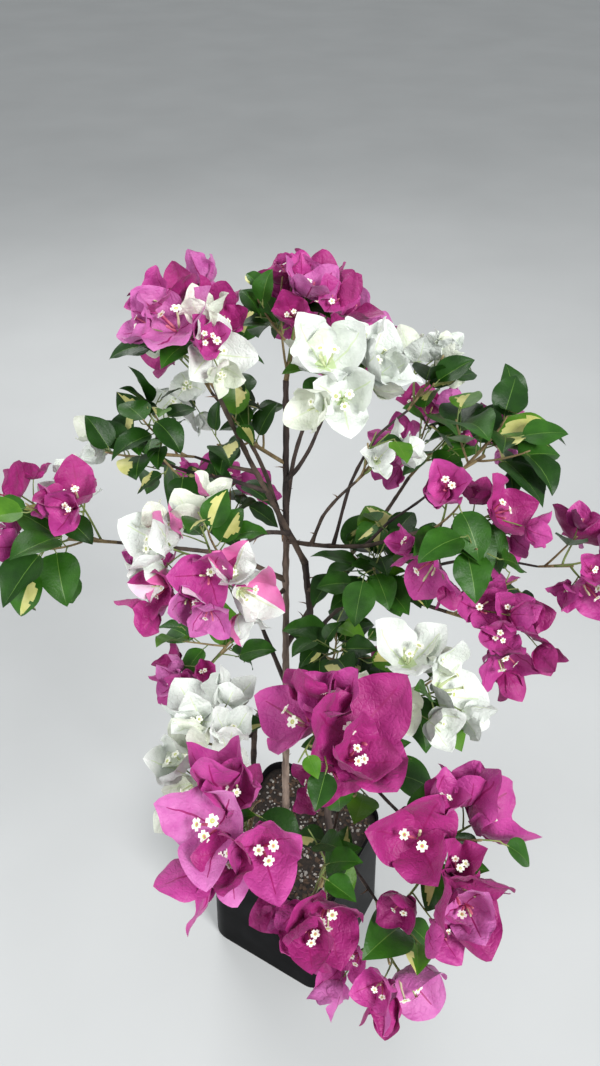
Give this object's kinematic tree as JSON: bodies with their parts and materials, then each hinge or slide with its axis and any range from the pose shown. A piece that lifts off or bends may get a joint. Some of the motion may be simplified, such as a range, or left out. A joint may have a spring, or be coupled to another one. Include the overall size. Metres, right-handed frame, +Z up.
{
  "type": "potted bougainvillea bush",
  "caption": "Potted shrub with two thin woody stems, arching boughs, and open sprays of pink and white papery bracts over variegated green leaves.",
  "frame": {"origin": "middle of the flat underside of the pot, on the surface it stands on", "axes": "+Z up along the stems; +X to the right and -Y towards the viewer in the front view"},
  "size_m": [0.5709, 0.6423, 0.9748],
  "materials": {
    "pot": "satin, scuffed",
    "soil": "matte",
    "bark": "matte",
    "leaves": "satin",
    "pink_bracts": "matte",
    "white_bracts": "matte",
    "flowers": "matte"
  },
  "bodies": {
    "root": {"pot": "pot", "soil": "soil", "stem_left": "bark", "stem_right": "bark", "bough_upper_left_pink": "bark", "bough_top_white": "bark", "bough_right_pink": "bark", "bough_right_white": "bark", "bough_centre_white": "bark", "bough_right_leaves": "bark", "bough_right_low_pink": "bark", "bough_far_right_pink": "bark", "bough_left_leaves": "bark", "bough_left_white": "bark", "bough_far_left_pink": "bark", "bough_middle_left_mixed": "bark", "bough_low_left_pink": "bark", "bough_centre_right_leaves": "bark", "bough_low_right_white": "bark", "bough_front_middle_pink": "bark", "bough_front_top_pink": "bark", "bough_front_right_pink": "bark", "bough_front_centre_pink": "bark", "bough_front_low_pink": "bark", "bough_front_left_pink": "bark", "bough_front_left_white": "bark", "bough_back_left_white": "bark", "bough_back_top_pink": "bark", "bough_back_right_pink": "bark", "bough_back_low_pink": "bark", "mass_top_pink": "pink_bracts", "mass_upper_left_pink": "pink_bracts", "mass_top_white": "white_bracts", "mass_right_pink": "pink_bracts", "mass_right_white": "white_bracts", "mass_centre_white": "white_bracts", "mass_right_leaves": "leaves", "mass_right_low_pink": "pink_bracts", "mass_far_right_pink": "pink_bracts", "mass_left_leaves": "leaves", "mass_left_white": "white_bracts", "mass_far_left_pink": "pink_bracts", "mass_middle_left_mixed": "pink_bracts", "mass_low_left_pink": "pink_bracts", "mass_centre_leaves": "leaves", "mass_centre_right_leaves": "leaves", "mass_centre_low_leaves": "leaves", "mass_low_right_white": "white_bracts", "mass_front_middle_pink": "leaves", "mass_front_top_pink": "pink_bracts", "mass_front_right_pink": "pink_bracts", "mass_front_centre_pink": "pink_bracts", "mass_front_low_pink": "pink_bracts", "mass_front_left_pink": "pink_bracts", "mass_front_left_white": "white_bracts", "mass_back_left_white": "white_bracts", "mass_back_top_pink": "pink_bracts", "mass_back_right_pink": "pink_bracts", "mass_back_low_pink": "pink_bracts"}
  },
  "joints": []
}
